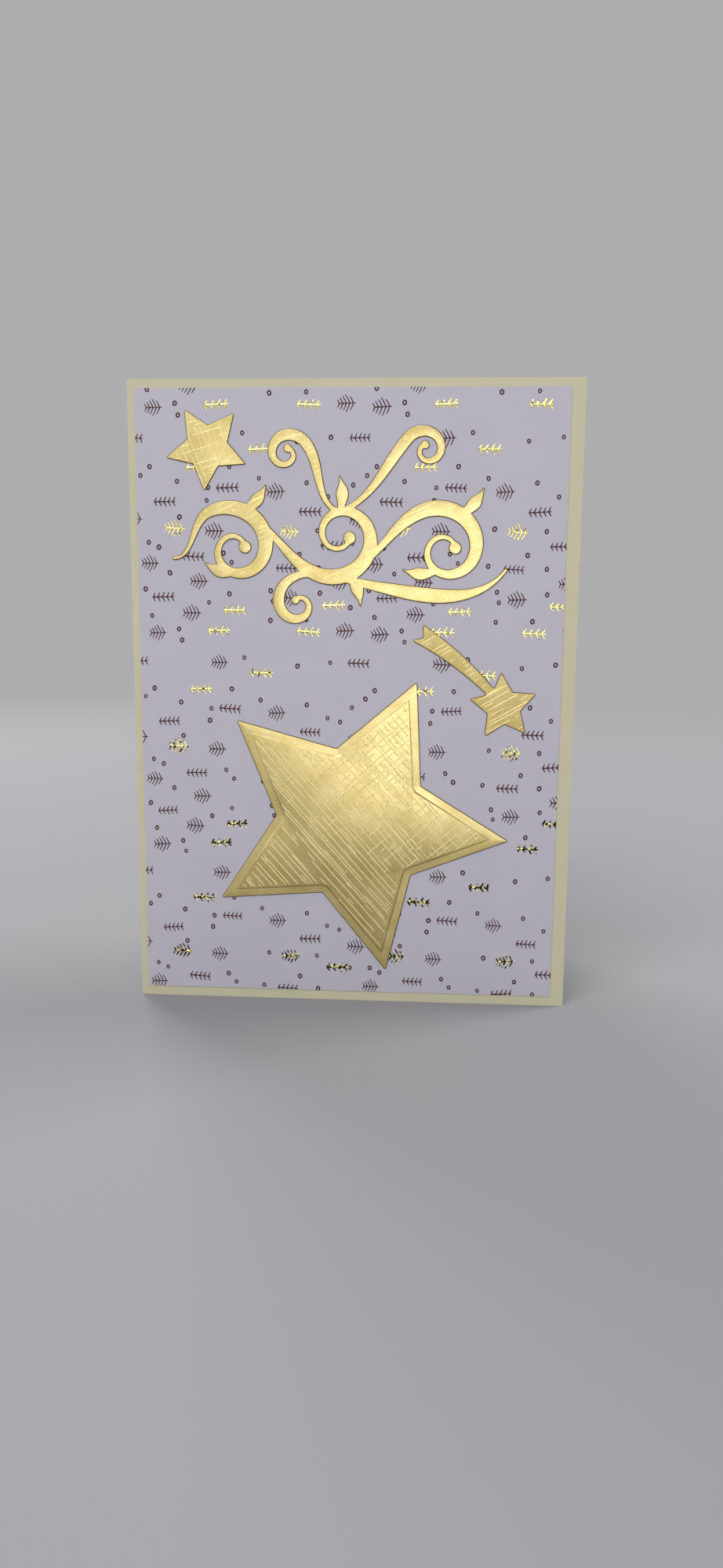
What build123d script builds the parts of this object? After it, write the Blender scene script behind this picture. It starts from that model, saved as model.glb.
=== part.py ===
"""Handmade folded greeting card with a sheet of patterned paper and four cut gold pieces glued on.

The card stands on its lower edges, opened like a V. Its front lies in a plane of constant Y and looks
along -Y, the fold is on its left, and the back panel runs away from the viewer. Sizes are in millimetres.
"""
from build123d import *
from dataclasses import dataclass
from math import copysign, cos, log, pi, radians, sin
import os

os.makedirs("parts", exist_ok=True)

# Base card, one sheet with one fold
card_width = 105.0  # A6 when folded
card_height = 148.0
card_thickness = 0.3
fold_inner_radius = 0.35
opening_angle = 35.0  # between the front and the back panel

# Small steps that the knife left in the free edge of the front panel
nick_heights = (107.0, 37.0)
nick_depth = 0.22
nick_length = 1.6

# Patterned paper on the front panel
paper_fold_border = 1.9  # card left bare beside it, at the fold
paper_free_border = 3.2
paper_bottom_border = 2.4
paper_height = 143.6
paper_thickness = 0.2

# Gold card, shared by the stars and the flourish
gold_thickness = 0.3
gold_edge_bevel = 0.14  # where the die pressed the edge down
star_notch_ratio = 0.5  # notch radius over tip radius
gold_corner_radius = 0.3
star_tips = 5

# Large embossed star
large_star_centre = (0.6, 44.8)  # across from the middle of the card, up from its lower edge
large_star_tip_radius = 37.7
large_star_turn = 66.6  # direction of one tip, anticlockwise from the right
star_band = 1.8
emboss_height = 0.25
emboss_slope_width = 0.35

# Small star
small_star_place = (18.65, 132.8)  # its centre, in from the fold side and up from the lower edge
small_star_tip_radius = 10.0
small_star_turn = 49.5

# Shooting star, with its trail up to the left
shooting_star_place = (16.55, 73.6)  # its centre, in from the free side and up from the lower edge
shooting_star_tip_radius = 8.35
shooting_star_turn = 95.0
trail_length = 27.0  # from the centre of the star to the middle of its forked end
trail_heading = 140.0
trail_root_width = 1.8
trail_end_width = 4.7
trail_bow = 1.2  # how far the middle of the trail stands above a straight one
trail_fork_depth = 2.0
trail_fork_slant = 5.0

# Flourish: three running scrolls, each growing out of the one before, with curls, a swash and leaves
flourish_place = (10.5, 90.5)  # its lower left corner, in from the fold side and up from the lower edge
left_tip_height = 17.2  # above that corner
scroll_first_eye = (14.5, 19.2)  # from that corner
scroll_count = 3
scroll_pitch = 24.5
scroll_sway = 3.4  # of the eyes, up and down in turn
scroll_outer_radius = 10.5
scroll_eye_radius = 2.4
scroll_start = 125.0  # where a spiral begins, seen from its eye
scroll_turn = 470.0
scroll_fork = 0.1  # where the next scroll leaves a spiral, as a share of its turn
scroll_width = 3.8
scroll_ball_radius = 1.5

crown_share = 0.46  # the top of the middle scroll, as a share of its turn
curl_outer_radius = 5.2
curl_eye_radius = 1.35
curl_turn = 400.0
curl_width = 2.8
curl_ball_radius = 1.0
left_curl_eye = (-12.5, 18.2)  # from the eye of the middle scroll
left_curl_start = 30.0
left_curl_departure = 162.0
right_curl_eye = (20.0, 19.0)
right_curl_start = 150.0
right_curl_departure = 18.0

swash_root_share = 0.035  # the foot of the middle scroll, as a share of its turn
swash_curl_radius = 6.2
swash_curl_eye = (-9.5, -16.0)
swash_curl_start = 110.0
swash_curl_turn = 380.0
swash_curl_departure = 168.0
swash_tip = (38.8, -7.5)
swash_departure = -8.0
swash_arrival = 55.0
swash_pulls = (16.0, 14.0)
swash_width = 3.6

leaf_length = 8.2
leaf_width = 3.0
leaf_places = (  # on each scroll in turn: share of its turn, direction, bend
    ((0.10, 25.0, 45.0), (0.45, -175.0, -45.0)),
    ((0.10, -45.0, -45.0), (0.46, 70.0, 40.0)),
    ((0.12, 25.0, 45.0), (0.50, -160.0, -45.0)),
)

hair_width = 1.3  # thinnest part of a stroke
tip_width = 0.9  # free end of a stroke
stem_pull = 0.36  # how long a stem keeps its first and last directions, as a share of its length
stroke_samples = 18

# Heights above the front panel, and the place of its face that centres the whole card on its origin
fold_outer_radius = fold_inner_radius + card_thickness
front_stack = paper_thickness + gold_thickness + emboss_height
back_panel_length = card_width - fold_outer_radius
back_reach = fold_outer_radius * (1 + cos(radians(opening_angle))) + back_panel_length * sin(radians(opening_angle))
front_y = (front_stack - back_reach) / 2

# Places on the front, brought from its sides to its middle, where X is 0
small_star_centre = (small_star_place[0] - card_width / 2, small_star_place[1])
shooting_star_centre = (card_width / 2 - shooting_star_place[0], shooting_star_place[1])
flourish_corner = Vector(flourish_place[0] - card_width / 2, flourish_place[1])

card_face = Plane.XZ.offset(-front_y)
paper_face = card_face.offset(paper_thickness)
gold_face = paper_face.offset(gold_thickness)


def heading(angle: float) -> Vector:
    """Unit vector at an angle in degrees, anticlockwise from the right."""
    return Vector(cos(radians(angle)), sin(radians(angle)))


def star(centre: tuple[float, float], tip_radius: float, turn: float) -> Sketch:
    """Flat five-pointed star with sharp corners."""
    step = 360 / star_tips
    corners = []
    for tip in range(star_tips):
        angle = turn + tip * step
        corners.append(Vector(*centre) + heading(angle) * tip_radius)
        corners.append(Vector(*centre) + heading(angle + step / 2) * tip_radius * star_notch_ratio)
    with BuildSketch(mode=Mode.PRIVATE) as outline:
        with BuildLine():
            Polyline(*corners, close=True)
        make_face()
    return outline.sketch


# Base card: the plan of the sheet, drawn along its outside and thickened inwards
with BuildPart() as card_base:
    with BuildSketch():
        with BuildLine():
            front = Line((card_width / 2, front_y), (-card_width / 2 + fold_outer_radius, front_y))
            fold = JernArc(front @ 1, front % 1, fold_outer_radius, opening_angle - 180)
            Line(fold @ 1, fold @ 1 + fold % 1 * back_panel_length)
            offset(amount=card_thickness, side=Side.RIGHT, kind=Kind.INTERSECTION)
        make_face()
    extrude(amount=card_height)
    with BuildSketch(card_face):
        for height in nick_heights:
            with BuildLine(Location((card_width / 2, height))):
                Polyline((0, 0), (-nick_depth, -nick_depth), (0, -nick_length), close=True)
            make_face()
    extrude(amount=-card_thickness, mode=Mode.SUBTRACT)
card_base.part.label = "card_base"
export_step(card_base.part, "parts/card_base.step")

# Patterned paper, glued face to face on the front panel, a little nearer the fold than the free edge
with BuildPart() as patterned_panel:
    with BuildSketch(card_face):
        with Locations((paper_fold_border - card_width / 2, paper_bottom_border)):
            paper_width = card_width - paper_fold_border - paper_free_border
            Rectangle(paper_width, paper_height, align=(Align.MIN, Align.MIN))
    extrude(amount=paper_thickness)
patterned_panel.part.label = "patterned_panel"
export_step(patterned_panel.part, "parts/patterned_panel.step")

# Large star: pressed from behind, so the raised field has its hollow at the back
with BuildSketch() as large_outline:
    add(star(large_star_centre, large_star_tip_radius, large_star_turn))
    fillet(large_outline.vertices(), gold_corner_radius)
with BuildPart() as large_star:
    with BuildSketch(paper_face):
        add(large_outline.sketch)
    extrude(amount=gold_thickness)
    chamfer(large_star.faces().sort_by(Axis.Y)[0].edges(), gold_edge_bevel)
    for foot, mode in ((gold_face, Mode.ADD), (paper_face, Mode.SUBTRACT)):
        with BuildSketch(foot):
            offset(large_outline.sketch, amount=-star_band, kind=Kind.ARC)
        with BuildSketch(foot.offset(emboss_height)):
            offset(large_outline.sketch, amount=-star_band - emboss_slope_width, kind=Kind.ARC)
        loft(ruled=True, mode=mode)
large_star.part.label = "large_star"
export_step(large_star.part, "parts/large_star.step")

# Small star
with BuildPart() as small_star:
    with BuildSketch(paper_face) as small_outline:
        add(star(small_star_centre, small_star_tip_radius, small_star_turn))
        fillet(small_outline.vertices(), gold_corner_radius)
    extrude(amount=gold_thickness)
    chamfer(small_star.faces().sort_by(Axis.Y)[0].edges(), gold_edge_bevel)
small_star.part.label = "small_star"
export_step(small_star.part, "parts/small_star.step")

# Shooting star: the trail bows upward, widens away from the star and ends in a swallowtail
along = heading(trail_heading)
across = along.rotate(Axis.Z, -90)
trail_root = Vector(*shooting_star_centre)
trail_end = trail_root + along * trail_length
trail_middle = (trail_root + trail_end) * 0.5 + across * trail_bow
fork_across = across.rotate(Axis.Z, trail_fork_slant)
with BuildPart() as shooting_star:
    with BuildSketch(paper_face) as shooting_outline:
        add(star(shooting_star_centre, shooting_star_tip_radius, shooting_star_turn))
        with BuildLine():
            upper_middle = trail_middle + across * (trail_root_width + trail_end_width) / 4
            lower_middle = trail_middle - across * (trail_root_width + trail_end_width) / 4
            upper = ThreePointArc(
                trail_root + across * trail_root_width / 2, upper_middle, trail_end + fork_across * trail_end_width / 2
            )
            lower = ThreePointArc(
                trail_root - across * trail_root_width / 2, lower_middle, trail_end - fork_across * trail_end_width / 2
            )
            Polyline(upper @ 1, trail_end - along * trail_fork_depth, lower @ 1)
            Line(upper @ 0, lower @ 0)
        make_face()
        fillet(shooting_outline.vertices(), gold_corner_radius)
    extrude(amount=gold_thickness)
    chamfer(shooting_star.faces().sort_by(Axis.Y)[0].edges(), gold_edge_bevel)
shooting_star.part.label = "shooting_star"
export_step(shooting_star.part, "parts/shooting_star.step")


@dataclass(frozen=True)
class Pen:
    """Widths of a pen stroke along its length."""

    start: float
    middle: float
    end: float
    swell: float  # share of the length at which the stroke is widest
    ball_radius: float = 0  # of the round end, where there is one

    def width_at(self, share: float) -> float:
        """Width at a share of the length."""
        if share < self.swell:
            return self.start + (self.middle - self.start) * (1 - cos(pi * share / self.swell)) / 2
        fall = (share - self.swell) / (1 - self.swell)
        return self.middle + (self.end - self.middle) * (1 - cos(pi * fall)) / 2


@dataclass(frozen=True)
class Volute:
    """Spiral whose radius falls by the same share with each degree, from its outside to its eye."""

    eye: Vector
    outer_radius: float
    inner_radius: float
    start: float  # direction from the eye to the outer end, in degrees
    turn: float  # positive is anticlockwise

    def at(self, share: float) -> Vector:
        """Point at a share of the turn."""
        radius = self.outer_radius * (self.inner_radius / self.outer_radius) ** share
        return self.eye + heading(self.start + self.turn * share) * radius

    def heading_at(self, share: float) -> Vector:
        """Direction of travel at a share of the turn."""
        outward = heading(self.start + self.turn * share)
        shrink = log(self.inner_radius / self.outer_radius) / radians(self.turn)
        return ((outward * shrink + outward.rotate(Axis.Z, 90)) * copysign(1, self.turn)).normalized()

    def path_from(self, foot: Vector, leave: Vector) -> Wire:
        """Path that leaves a foot in a given direction and runs smoothly into the spiral."""
        pull = (self.at(0) - foot).length * stem_pull
        stem = Bezier(foot, foot + leave * pull, self.at(0) - self.heading_at(0) * pull, self.at(0))
        spiral = Spline(*[self.at(step / stroke_samples) for step in range(stroke_samples + 1)])
        return Wire([stem, spiral])


def pen_outline(path: Wire, pen: Pen, inset: float) -> Sketch:
    """Flat outline of a pen stroke with a round start, moved inward by an inset."""
    steps = 2 * stroke_samples
    left_points = []
    right_points = []
    for step in range(steps + 1):
        share = step / steps
        reach = (path % share).rotate(Axis.Z, 90) * (pen.width_at(share) / 2 - inset)
        left_points.append(path @ share + reach)
        right_points.append(path @ share - reach)
    with BuildSketch(mode=Mode.PRIVATE) as face:
        with BuildLine():
            left = Spline(*left_points)
            right = Spline(*right_points)
            ThreePointArc(left @ 0, path @ 0 - path % 0 * (pen.start / 2 - inset), right @ 0)
            Line(left @ 1, right @ 1)
        make_face()
    return face.sketch


def ball_outline(path: Wire, pen: Pen, inset: float) -> Sketch:
    """Flat round end of a stroke, moved inward by an inset."""
    with BuildSketch(mode=Mode.PRIVATE) as face:
        with Locations(path @ 1):
            Circle(pen.ball_radius - inset)
    return face.sketch


def leaf_path(foot: Vector, direction: float, bend: float) -> Wire:
    """Gently bent path of a leaf."""
    return Wire([JernArc(foot, heading(direction), leaf_length / radians(abs(bend)), bend)])


scroll_pen = Pen(tip_width, scroll_width, hair_width, swell=0.42, ball_radius=scroll_ball_radius)
curl_pen = Pen(hair_width, curl_width, hair_width, swell=0.5, ball_radius=curl_ball_radius)
swash_pen = Pen(hair_width, swash_width, tip_width, swell=0.55)
leaf_pen = Pen(hair_width, leaf_width, tip_width / 2, swell=0.5)
strokes = []

# Scrolls, turned over in turn
foot = flourish_corner + Vector(0, left_tip_height)
leave = heading(0)
scrolls = []
for index in range(scroll_count):
    side = (-1) ** index
    sway = scroll_sway * (1 - side) / 2
    eye = flourish_corner + Vector(*scroll_first_eye) + Vector(index * scroll_pitch, sway)
    scroll = Volute(eye, scroll_outer_radius, scroll_eye_radius, side * scroll_start, -side * scroll_turn)
    strokes.append((scroll.path_from(foot, leave), scroll_pen))
    foot = scroll.at(scroll_fork)
    leave = scroll.heading_at(scroll_fork)
    scrolls.append(scroll)

# Curls on the crown of the middle scroll
middle = scrolls[1]
crown = middle.at(crown_share)
left_curl = Volute(middle.eye + Vector(*left_curl_eye), curl_outer_radius, curl_eye_radius, left_curl_start, curl_turn)
right_curl = Volute(
    middle.eye + Vector(*right_curl_eye), curl_outer_radius, curl_eye_radius, right_curl_start, -curl_turn
)
strokes.append((left_curl.path_from(crown, heading(left_curl_departure)), curl_pen))
strokes.append((right_curl.path_from(crown, heading(right_curl_departure)), curl_pen))

# Swash under the middle scroll, with a curl to its left and a long tip to its right
swash_root = middle.at(swash_root_share)
swash_curl = Volute(
    middle.eye + Vector(*swash_curl_eye), swash_curl_radius, curl_eye_radius, swash_curl_start, swash_curl_turn
)
swash_end = middle.eye + Vector(*swash_tip)
swash = Bezier(
    swash_root,
    swash_root + heading(swash_departure) * swash_pulls[0],
    swash_end - heading(swash_arrival) * swash_pulls[1],
    swash_end,
)
strokes.append((swash_curl.path_from(swash_root, heading(swash_curl_departure)), curl_pen))
strokes.append((Wire([swash]), swash_pen))

for scroll, leaves in zip(scrolls, leaf_places):
    for share, direction, bend in leaves:
        strokes.append((leaf_path(scroll.at(share), direction, bend), leaf_pen))

# Each stroke rises straight from the paper and has a bevel round its face
sections = ((0, 0), (gold_thickness - gold_edge_bevel, 0), (gold_thickness, gold_edge_bevel))
with BuildPart() as flourish:
    for path, pen in strokes:
        for outline in [pen_outline] + [ball_outline] * (pen.ball_radius > 0):
            for height, inset in sections:
                with BuildSketch(paper_face.offset(height)):
                    add(outline(path, pen, inset))
            loft(ruled=True)
flourish.part.label = "flourish"
export_step(flourish.part, "parts/flourish.step")
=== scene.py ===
"""Looks of a handmade greeting card with patterned paper and cut gold card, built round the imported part.

Everything is in metres, in the part's own frame: X to the right, Z up, and the decorated front looks
along -Y. The gold pieces are rebuilt on the part's own outlines with rolled edges and embossed lines, and
the print on the paper is thin ink and foil.
"""
import logging
from dataclasses import dataclass, fields
from enum import Enum
from math import cos, dist, pi, radians, sin
from typing import Any

import bmesh
import bpy
import numpy as np
from bpy.types import Material, Mesh, Node, NodeSocket, NodeTree, Object
from mathutils import Matrix, Vector
from mathutils.geometry import delaunay_2d_cdt


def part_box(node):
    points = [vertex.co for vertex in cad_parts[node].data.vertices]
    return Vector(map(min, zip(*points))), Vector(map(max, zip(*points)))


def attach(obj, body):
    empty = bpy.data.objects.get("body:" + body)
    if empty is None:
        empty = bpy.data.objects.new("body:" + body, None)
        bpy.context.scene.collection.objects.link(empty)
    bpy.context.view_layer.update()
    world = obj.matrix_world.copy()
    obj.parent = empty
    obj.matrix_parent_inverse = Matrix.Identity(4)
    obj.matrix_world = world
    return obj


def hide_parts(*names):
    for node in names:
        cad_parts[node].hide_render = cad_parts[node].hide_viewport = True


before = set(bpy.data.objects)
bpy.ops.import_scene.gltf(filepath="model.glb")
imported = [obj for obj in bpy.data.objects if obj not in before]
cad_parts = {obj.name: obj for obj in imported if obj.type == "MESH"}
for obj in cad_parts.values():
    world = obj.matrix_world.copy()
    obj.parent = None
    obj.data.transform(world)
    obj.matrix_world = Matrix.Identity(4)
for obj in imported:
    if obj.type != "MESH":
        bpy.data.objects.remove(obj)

MM = 0.001
RIM_ATTRIBUTE = "rim"  # on gold card, from 1 at the cut edge to 0 where the face is flat
LOG = logging.getLogger("greeting_card")


def srgb(red: int, green: int, blue: int) -> tuple[float, ...]:
    """Linear colour, opaque, from 8-bit sRGB."""
    parts = [part / 255 for part in (red, green, blue)]
    return (*(part / 12.92 if part <= 0.04045 else ((part + 0.055) / 1.055) ** 2.4 for part in parts), 1.0)


class Graph:
    """Adds nodes to one tree, with their settings and links in one call."""

    def __init__(self, tree: NodeTree) -> None:
        """Keeps the tree that the nodes go to."""
        self.tree = tree

    def add(self, kind: str, inputs: dict[str | int, Any] | None = None, **settings: Any) -> Node:
        """Adds a node.

        Args:
            kind: Blender's name for the type of node.
            inputs: Values or output sockets for its inputs, by name or number.
            settings: Values of its own properties.

        Returns:
            The new node.
        """
        node = self.tree.nodes.new(kind)
        for name, value in settings.items():
            setattr(node, name, value)
        for name, value in (inputs or {}).items():
            for one in value if isinstance(value, list) else [value]:
                if isinstance(one, NodeSocket):
                    self.tree.links.new(one, node.inputs[name])
                else:
                    node.inputs[name].default_value = one
        return node

    def math(self, operation: str, first: Any, second: Any = 0.0, third: Any = 0.0) -> NodeSocket:
        """Output of a Math node on up to three values or sockets."""
        return self.add("ShaderNodeMath", {0: first, 1: second, 2: third}, operation=operation).outputs[0]

    def noise(self, vector: NodeSocket, size: float, detail: float = 2.0) -> NodeSocket:
        """Noise from 0 to 1 whose features have the given size in metres."""
        inputs = {"Vector": vector, "Scale": 1 / size, "Detail": detail}
        return self.add("ShaderNodeTexNoise", inputs).outputs[0]

    def ramp(self, value: Any, *bounds: Any, **settings: Any) -> NodeSocket:
        """Straight ramp of a value between two bounds, mapped to 0 and 1 or to two others."""
        return self.add("ShaderNodeMapRange", dict(enumerate((value, *bounds))), **settings).outputs[0]

    def span(self, value: Any, *bounds: Any) -> NodeSocket:
        """Smooth step of a value between two bounds, mapped to 0 and 1 or to two others."""
        return self.ramp(value, *bounds, interpolation_type="SMOOTHSTEP")

    def blend(self, share: Any, first: Any, second: Any) -> NodeSocket:
        """Mix of two colours by a share from 0 to 1."""
        return self.add("ShaderNodeMix", {0: share, 6: first, 7: second}, data_type="RGBA").outputs[2]


class MaterialGraph(Graph):
    """Node tree of one material, which looks up places and directions on the object itself."""

    def __init__(self, name: str) -> None:
        """Makes the material.

        Args:
            name: The material's name.
        """
        self.material = bpy.data.materials.new(name)
        self.material.use_nodes = True
        super().__init__(self.material.node_tree)
        self.tree.nodes.clear()
        coordinates = self.add("ShaderNodeTexCoord")
        self.place = coordinates.outputs["Object"]
        self.normal = self.add("ShaderNodeSeparateXYZ", {0: coordinates.outputs["Normal"]})
        self.spot = self.add("ShaderNodeSeparateXYZ", {0: self.place})

    def finish(self, **inputs: Any) -> Material:
        """Ends the tree with a Principled shader.

        Args:
            inputs: Values or output sockets, by the shader's names in lower case with underscores.

        Returns:
            The finished material.
        """
        named = {key.replace("_", " ").title().replace("Ior", "IOR"): inputs[key] for key in inputs}
        shader = self.add("ShaderNodeBsdfPrincipled", named)
        self.add("ShaderNodeOutputMaterial", {"Surface": shader.outputs[0]})
        return self.material

    def bump(self, height: NodeSocket, depth: float) -> NodeSocket:
        """Normal bumped by a height, where a height of 1 stands for a depth in metres."""
        return self.add("ShaderNodeBump", {"Height": height, "Distance": depth, "Strength": 1.0}).outputs[0]


@dataclass(frozen=True)
class CardStock:
    """Uncoated cream card with short fibres and paler cut edges."""

    name: str = "cream_card"
    face: tuple = srgb(191, 186, 159)
    face_shade: tuple = srgb(187, 182, 155)
    cut: tuple = srgb(222, 218, 194)
    fleck: tuple = srgb(172, 165, 130)
    fibre_size: float = 0.35 * MM
    fibre_depth: float = 0.012 * MM
    cloud_size: float = 14 * MM
    cloud_span: tuple = (0.2, 0.8)
    fleck_size: float = 1.3 * MM
    fleck_span: tuple = (0.79, 0.83)
    top_edge_span: tuple = (0.5, 0.9)  # of how far the surface looks up or down
    free_edge_span: tuple = (0.70, 0.78)  # of how far it looks to the right
    fold_x: float = -52.5 * MM
    crease_width: float = 0.7 * MM
    crease_span: tuple = (0.45, 0.7)

    def material(self) -> Material:
        """Builds the material.

        Returns:
            The material.
        """
        graph = MaterialGraph(self.name)
        cloud = graph.noise(graph.place, self.cloud_size, 3.0)
        fibre = graph.noise(graph.place, self.fibre_size, 4.0)
        colour = graph.blend(graph.span(cloud, *self.cloud_span), self.face, self.face_shade)
        flecks = graph.span(graph.noise(graph.place, self.fleck_size, 1.0), *self.fleck_span)
        colour = graph.blend(flecks, colour, self.fleck)
        top_edge = graph.span(graph.math("ABSOLUTE", graph.normal.outputs[2]), *self.top_edge_span)
        free_edge = graph.span(graph.normal.outputs[0], *self.free_edge_span)
        colour = graph.blend(graph.math("MAXIMUM", top_edge, free_edge), colour, self.cut)
        bend = graph.span(graph.spot.outputs[0], self.fold_x, self.fold_x + self.crease_width, 1.0, 0.0)
        crease = graph.math("MULTIPLY", bend, graph.span(fibre, *self.crease_span))
        colour = graph.blend(crease, colour, self.cut)
        bumped = graph.bump(fibre, self.fibre_depth)
        return graph.finish(base_color=colour, roughness=0.85, specular_ior_level=0.3, normal=bumped)


@dataclass(frozen=True)
class PatternedSheet:
    """Smooth lavender grey paper that carries the print, with a white core at its cut edges."""

    name: str = "lavender_paper"
    face: tuple = srgb(178, 175, 187)
    face_shade: tuple = srgb(176, 173, 185)
    cut: tuple = srgb(214, 210, 205)
    cloud_size: float = 9 * MM
    cloud_span: tuple = (0.35, 0.65)
    edge_span: tuple = (0.3, 0.7)  # of how far the surface looks away from front and back
    tooth_size: float = 0.22 * MM
    tooth_depth: float = 0.006 * MM

    def material(self) -> Material:
        """Builds the material.

        Returns:
            The material.
        """
        graph = MaterialGraph(self.name)
        cloud = graph.noise(graph.place, self.cloud_size, 4.0)
        tooth = graph.noise(graph.place, self.tooth_size, 3.0)
        colour = graph.blend(graph.span(cloud, *self.cloud_span), self.face, self.face_shade)
        edge = graph.math("SUBTRACT", 1.0, graph.math("ABSOLUTE", graph.normal.outputs[1]))
        colour = graph.blend(graph.span(edge, *self.edge_span), colour, self.cut)
        bumped = graph.bump(tooth, self.tooth_depth)
        return graph.finish(base_color=colour, roughness=0.62, specular_ior_level=0.35, normal=bumped)


@dataclass(frozen=True)
class PrintingInk:
    """Dark maroon ink that lets a little of the paper through where it is thin."""

    name: str = "maroon_ink"
    full: tuple = srgb(60, 20, 24)
    thin: tuple = srgb(92, 40, 42)
    density_size: float = 0.4 * MM
    density_span: tuple = (0.4, 0.7)

    def material(self) -> Material:
        """Builds the material.

        Returns:
            The material.
        """
        graph = MaterialGraph(self.name)
        density = graph.span(graph.noise(graph.place, self.density_size), *self.density_span)
        colour = graph.blend(density, self.full, self.thin)
        return graph.finish(base_color=colour, roughness=0.5, specular_ior_level=0.4)


@dataclass(frozen=True)
class MirrorCard:
    """Metallic gold card with a fine grain, and painted shade on its rolled edge that is partly the darker
    core of the card.
    """

    name: str = "gold_card"
    bright: tuple = srgb(222, 205, 150)
    shade: tuple = srgb(188, 168, 100)
    # painted shade on the rolled edge, partly the darker core of the card at its cut wall
    rolled: tuple = srgb(104, 88, 42)
    cloud_size: float = 6 * MM
    grain_size: float = 0.17 * MM
    grain_depth: float = 0.012 * MM
    grain_share: float = 0.65  # of the grain in the card's shades, the rest being clouds
    shade_span: tuple = (0.32, 0.68)
    rim_span: tuple = (0.2, 0.6)
    rough_span: tuple = (0.3, 0.7)
    smooth_roughness: float = 0.32
    rough_roughness: float = 0.43

    def material(self) -> Material:
        """Builds the material.

        Returns:
            The material.
        """
        graph = MaterialGraph(self.name)
        cloud = graph.noise(graph.place, self.cloud_size, 3.0)
        grain = graph.noise(graph.place, self.grain_size, 2.0)
        cloudy = graph.math("MULTIPLY", cloud, 1 - self.grain_share)
        mixed = graph.math("MULTIPLY_ADD", grain, self.grain_share, cloudy)
        colour = graph.blend(graph.span(mixed, *self.shade_span), self.bright, self.shade)
        rim = graph.add("ShaderNodeAttribute", attribute_name=RIM_ATTRIBUTE).outputs["Fac"]
        # Painted shade: darker towards the cut edge, partly the card's darker core at the wall.
        colour = graph.blend(graph.span(rim, *self.rim_span), colour, self.rolled)
        roughness = graph.span(grain, *self.rough_span, self.smooth_roughness, self.rough_roughness)
        bumped = graph.bump(grain, self.grain_depth)
        return graph.finish(base_color=colour, metallic=1.0, roughness=roughness, normal=bumped)


@dataclass(frozen=True)
class RidgePaintedHighlight:
    """Crest of an embossed line, a little smoother than the gold card round it, with a painted highlight: a
    paler, brighter colour.
    """

    name: str = "burnished_gold"
    # painted highlight: colours paler and brighter than the gold card's
    bright: tuple = srgb(251, 235, 178)
    shade: tuple = srgb(240, 220, 154)
    rub_size: float = 0.5 * MM
    rub_span: tuple = (0.4, 0.62)

    def material(self) -> Material:
        """Builds the material.

        Returns:
            The material.
        """
        graph = MaterialGraph(self.name)
        rub = graph.span(graph.noise(graph.place, self.rub_size), *self.rub_span)
        colour = graph.blend(rub, self.bright, self.shade)
        return graph.finish(base_color=colour, metallic=1.0, roughness=0.34)


@dataclass(frozen=True)
class HotFoil:
    """Mirror-like foil stamped on the paper, slightly wavy, with painted dark reflections in patches of its
    colour, more of them lower down.
    """

    name: str = "gold_foil"
    bright: tuple = srgb(255, 240, 150)
    # painted dark reflection, put into the foil's colour in patches
    dark: tuple = srgb(52, 42, 12)
    patch_size: float = 0.8 * MM
    patch_span: tuple = (-0.03, 0.03)
    height_span: tuple = (40 * MM, 95 * MM, 0.45, 0.65)  # two heights, and the noise's bound at each: more painted dark reflection lower down
    wave_size: float = 0.9 * MM
    wave_depth: float = 0.08 * MM

    def material(self) -> Material:
        """Builds the material.

        Returns:
            The material.
        """
        graph = MaterialGraph(self.name)
        wave = graph.noise(graph.place, self.wave_size, 1.0)
        # Painted dark reflection: patches of the foil get a near-black colour, more of them lower down.
        bound = graph.span(graph.spot.outputs[2], *self.height_span)
        dark_reflection_mask = graph.math("SUBTRACT", graph.noise(graph.place, self.patch_size, 1.0), bound)
        colour = graph.blend(graph.span(dark_reflection_mask, *self.patch_span), self.bright, self.dark)
        bumped = graph.bump(wave, self.wave_depth)
        return graph.finish(base_color=colour, metallic=1.0, roughness=0.16, normal=bumped)


@dataclass(frozen=True)
class StudioGround:
    """Matt pale floor that fades into the background far from the card."""

    name: str = "studio_ground"
    colour: tuple = srgb(151, 150, 154)
    fade_span: tuple = (0.2, 0.95)

    def material(self) -> Material:
        """Builds the material.

        Returns:
            The material.
        """
        graph = MaterialGraph(self.name)
        reach = graph.add("ShaderNodeVectorMath", {0: graph.place}, operation="LENGTH").outputs["Value"]
        fade = graph.span(reach, *self.fade_span, 1.0, 0.0)
        return graph.finish(base_color=self.colour, roughness=0.9, specular_ior_level=0.1, alpha=fade)


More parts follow.
